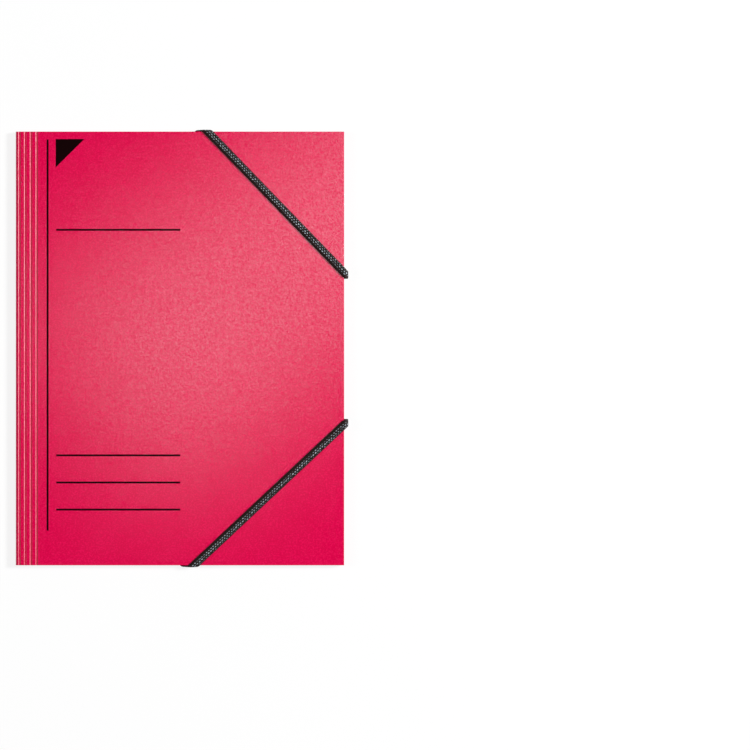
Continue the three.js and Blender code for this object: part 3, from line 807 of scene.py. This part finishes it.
def band_shape(elastic, route):
    """A braided band: a flat section with rounded edges, carried along its route, with the plaits raised
    on both faces. The section's height is the root of one less the power 2.6 of the share of its width."""
    tail = SLOT_BEND * math.pi / 2 + END_RISE
    first, last = route["rear_start"] - tail, route["rear_end"] + tail
    rows = int((last - first) / elastic.plait * elastic.rows_per_plait)
    along = np.linspace(first, last, rows)[:, None]
    turn = np.linspace(-math.pi / 2, math.pi / 2, BAND_COLUMNS)[None, :]
    gathered = [route["rear_start"], route["rear_start"] + GATHER_RUN,
                route["rear_end"] - GATHER_RUN, route["rear_end"]]
    half = np.interp(along, gathered, np.array([GATHERED, 1, 1, GATHERED]) * elastic.width / 2)
    across = half * np.sin(turn)
    body = np.sqrt(np.clip(1 - np.abs(np.sin(turn)) ** 2.6, 0, 1)) * elastic.thickness / 2
    crest = plaits(elastic, along, across)
    soft = np.clip(body / (elastic.thickness / 2), 0, 1)
    height = body - elastic.relief * (1 - crest) * soft
    across = np.broadcast_to(across - BAND_SHIFT * route["side"], height.shape)
    along = np.broadcast_to(along, height.shape)
    upper = band_places(route, along, across, height)
    lower = band_places(route, along, across, -height)
    strip = np.stack([along / MM, across / MM], axis=-1).reshape(-1, 2)
    # Painted shade: the band's two edges are darkened, the edge on the side of the spine more so
    from_spine = np.sin(turn) * route["side"]
    edges = np.clip(1.2 - 0.95 * np.abs(from_spine) ** 3, 0.2, 1)
    with_painted_light = crest * edges * np.clip(2.2 * from_spine + 1.45, 0.12, 1)
    return closed_sheet(upper, lower), np.tile(with_painted_light.ravel(), 2), np.tile(strip, (2, 1))


def add_band(name, elastic, route):
    """One braided band with its crest attribute, which carries the plaits and the painted shade of its
    edges, and its strip UV map in millimetres.
    """
    shape, crest, strip = band_shape(elastic, route)
    piece = add_piece(name, shape, material_of("braided_elastic", braided_elastic), 180.0)
    mesh = piece.data
    mesh.attributes.new("crest", "FLOAT", "POINT").data.foreach_set("value", crest.astype(np.float32))
    layer = mesh.uv_layers.new(name="strip")
    corner = np.zeros(len(mesh.loops), dtype=np.int32)
    mesh.loops.foreach_get("vertex_index", corner)
    layer.data.foreach_set("uv", strip[corner].astype(np.float32).ravel())
    return piece


# Operators

class FOLDER_OT_spine(bpy.types.Operator):
    """Adds the spine"""
    bl_idname = "folder.spine"
    bl_label = "Spine"

    def execute(self, context):
        card = context.scene.folder_card
        piece = add_card("spine_fold", card, spine_shape(card))
        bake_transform(piece)
        return {"FINISHED"}


class FOLDER_OT_cover(bpy.types.Operator):
    """Adds the scored front cover"""
    bl_idname = "folder.cover"
    bl_label = "Front cover"

    def execute(self, context):
        card = context.scene.folder_card
        piece = add_card("cover_sheet", card, cover_shape(card))
        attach(piece, "cover")
        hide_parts("front_cover")
        return {"FINISHED"}


class FOLDER_OT_back(bpy.types.Operator):
    """Adds the back panel with the side flap, and the two end flaps"""
    bl_idname = "folder.back"
    bl_label = "Back panel and flaps"

    def execute(self, context):
        card = context.scene.folder_card
        shapes = {
            "back_and_side_flap": back_shape(card),
            "head_flap": end_flap_shape(card, 1, HEAD_SLANT),
            "foot_flap": end_flap_shape(card, -1, FOOT_SLANT),
        }
        for name, shape in shapes.items():
            piece = add_card(name, card, shape)
            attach(piece, "back")
            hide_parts("back_panel")
        return {"FINISHED"}


class FOLDER_OT_print(bpy.types.Operator):
    """Adds the printed lines and the corner triangle"""
    bl_idname = "folder.print"
    bl_label = "Print"

    def execute(self, context):
        card = context.scene.folder_card
        ink = context.scene.folder_print
        half = ink.line / 2
        patches = [((ink.upright - half, ink.upright + half, UPRIGHT_FROM),
                    (ink.upright - half, ink.upright + half, UPRIGHT_TO))]
        for down in LINES_DOWN:
            patches.append(((ink.lines_from, ink.lines_to, down - half),
                            (ink.lines_from, ink.lines_to, down + half)))
        patches.append(((CORNER_LEFT, CORNER_LEFT + ink.corner_width, CORNER_DOWN),
                        (CORNER_LEFT, CORNER_LEFT + CORNER_TIP, CORNER_DOWN + ink.corner_height)))
        shape = joined([ink_patch(card, ink.ink, top, bottom) for top, bottom in patches])
        piece = add_piece("cover_print", shape, material_of("black_offset_ink", offset_ink))
        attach(piece, "cover")
        return {"FINISHED"}


class FOLDER_OT_elastics(bpy.types.Operator):
    """Adds the two braided bands across the right-hand corners"""
    bl_idname = "folder.elastics"
    bl_label = "Elastics"

    def execute(self, context):
        card = context.scene.folder_card
        elastic = context.scene.folder_elastic
        for end, (side, along, across) in BANDS.items():
            piece = add_band(end + "_band", elastic, band_route(card, elastic, side, along, across))
            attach(piece, "back")
            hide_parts(end + "_elastic")
        return {"FINISHED"}


class FOLDER_OT_clips(bpy.types.Operator):
    """Gives the four clips their plating"""
    bl_idname = "folder.clips"
    bl_label = "Clips"

    def execute(self, context):
        material = material_of("nickel_plated_strip", plated_strip)
        for name in CLIPS:
            for slot in bpy.data.objects[name].material_slots:
                slot.material = material
        return {"FINISHED"}


def seen_mix(tree, plain, seen):
    """Mixes a shader for rays that the camera, gloss or glass sends with one for all other light."""
    path = add_node(tree, "ShaderNodeLightPath")
    either = add_node(tree, "ShaderNodeMath", {"operation": "MAXIMUM"}, {
        0: path.outputs["Is Camera Ray"], 1: path.outputs["Is Glossy Ray"]})
    any_ray = add_node(tree, "ShaderNodeMath", {"operation": "MAXIMUM"}, {
        0: either.outputs[0], 1: path.outputs["Is Transmission Ray"]})
    return add_node(tree, "ShaderNodeMixShader", inputs={0: any_ray.outputs[0], 1: plain, 2: seen})


def add_softbox(name, place, turn, size, watts, shines):
    """A softbox at a place, turned by three angles in degrees. It stays out of the camera's sight, and out
    of the card's gloss if it doesn't shine."""
    lamp = bpy.data.lights.new(name, "AREA")
    lamp.shape = "RECTANGLE"
    lamp.size, lamp.size_y = size
    lamp.energy = watts
    holder = bpy.data.objects.new(name, lamp)
    holder.location = place
    holder.rotation_euler = [math.radians(angle) for angle in turn]
    holder.visible_camera = False
    holder.visible_glossy = shines
    bpy.context.scene.collection.objects.link(holder)


def studio_floor(tree, _):
    """White background paper. The camera sees it lifted almost to white, and other light sees it plain."""
    plain = add_node(tree, "ShaderNodeBsdfDiffuse", inputs={"Color": linear("#D8D8D8")})
    paper = add_node(tree, "ShaderNodeBsdfDiffuse", inputs={"Color": linear("#707070")})
    lift = add_node(tree, "ShaderNodeEmission", inputs={"Color": (1, 1, 1, 1), "Strength": 0.84})
    seen = add_node(tree, "ShaderNodeAddShader", inputs={0: paper.outputs[0], 1: lift.outputs[0]})
    return seen_mix(tree, plain.outputs[0], seen.outputs[0]).outputs[0]


class FOLDER_OT_stage(bpy.types.Operator):
    """Adds the floor, the lamps, the surroundings and the camera"""
    bl_idname = "folder.stage"
    bl_label = "Stage"

    def execute(self, context):
        scene = context.scene
        stage = scene.folder_stage
        self.add_camera(scene, stage)
        self.add_floor(stage)
        self.light_surroundings(scene)
        for name, (place, turn, size, watts, shines) in SOFTBOXES.items():
            add_softbox(name, place, turn, size, getattr(stage, watts), shines)
        scene.view_settings.view_transform = "Standard"
        return {"FINISHED"}

    def add_camera(self, scene, stage):
        camera = bpy.data.cameras.new("camera")
        camera.lens = 200.0
        camera.sensor_width = 36.0
        camera.clip_end = 20.0
        holder = bpy.data.objects.new("camera", camera)
        holder.location = (CAMERA_RIGHT, CAMERA_FOOTWARD, COVER_FACE + stage.camera_height)
        scene.collection.objects.link(holder)
        scene.camera = holder

    def add_floor(self, stage):
        half = stage.floor_size / 2
        mesh = bpy.data.meshes.new("floor")
        corners = [(-half, -half, 0), (half, -half, 0), (half, half, 0), (-half, half, 0)]
        mesh.from_pydata(corners, [], [(0, 1, 2, 3)])
        mesh.materials.append(material_of("studio_floor", studio_floor))
        floor = bpy.data.objects.new("floor", mesh)
        bpy.context.scene.collection.objects.link(floor)

    def light_surroundings(self, scene):
        world = bpy.data.worlds.new("studio")
        world.use_nodes = True
        scene.world = world
        tree = world.node_tree
        tree.nodes.clear()
        output = tree.nodes.new("ShaderNodeOutputWorld")
        # White walls and a dim ceiling, as in a studio with its lamps above
        place = add_node(tree, "ShaderNodeTexCoord").outputs["Generated"]
        up = add_node(tree, "ShaderNodeSeparateXYZ", inputs={0: place})
        ceiling = add_node(tree, "ShaderNodeMapRange", {"interpolation_type": "SMOOTHSTEP"}, {
            "Value": up.outputs["Z"], "From Min": 0.3, "From Max": 0.75, "To Min": 1.0, "To Max": 0.02})
        ambient = add_node(tree, "ShaderNodeBackground", inputs={"Color": (1, 1, 1, 1), "Strength": 0.12})
        shown = add_node(tree, "ShaderNodeBackground", inputs={
            "Color": (1, 1, 1, 1), "Strength": ceiling.outputs["Result"]})
        mixed = seen_mix(tree, ambient.outputs[0], shown.outputs[0])
        tree.links.new(mixed.outputs[0], output.inputs["Surface"])


class FOLDER_PT_panel(bpy.types.Panel):
    """Lists the folder's steps and sizes"""
    bl_idname = "FOLDER_PT_panel"
    bl_label = "Card folder"
    bl_space_type = "VIEW_3D"
    bl_region_type = "UI"
    bl_category = "Folder"

    def draw(self, context):
        for step in STEPS:
            self.layout.operator(step.bl_idname)
        for group in GROUPS:
            box = self.layout.box()
            values = getattr(context.scene, group)
            for name in values.bl_rna.properties.keys():
                if name not in {"rna_type", "name"}:
                    box.prop(values, name)


GROUPS = {
    "folder_card": FolderCard,
    "folder_print": FolderPrint,
    "folder_elastic": FolderElastic,
    "folder_colours": FolderColours,
    "folder_stage": FolderStage,
}
STEPS = (FOLDER_OT_stage, FOLDER_OT_spine, FOLDER_OT_cover, FOLDER_OT_back, FOLDER_OT_print,
         FOLDER_OT_elastics, FOLDER_OT_clips)
CLASSES = (*GROUPS.values(), *STEPS, FOLDER_PT_panel)


def register():
    for entry in CLASSES:
        bpy.utils.register_class(entry)
    for name, group in GROUPS.items():
        setattr(bpy.types.Scene, name, PointerProperty(type=group))


def unregister():
    for name in GROUPS:
        delattr(bpy.types.Scene, name)
    for entry in reversed(CLASSES):
        bpy.utils.unregister_class(entry)


def main():
    register()
    for step in STEPS:
        category, action = step.bl_idname.split(".")
        getattr(getattr(bpy.ops, category), action)()
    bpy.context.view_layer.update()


if __name__ == "__main__":
    main()
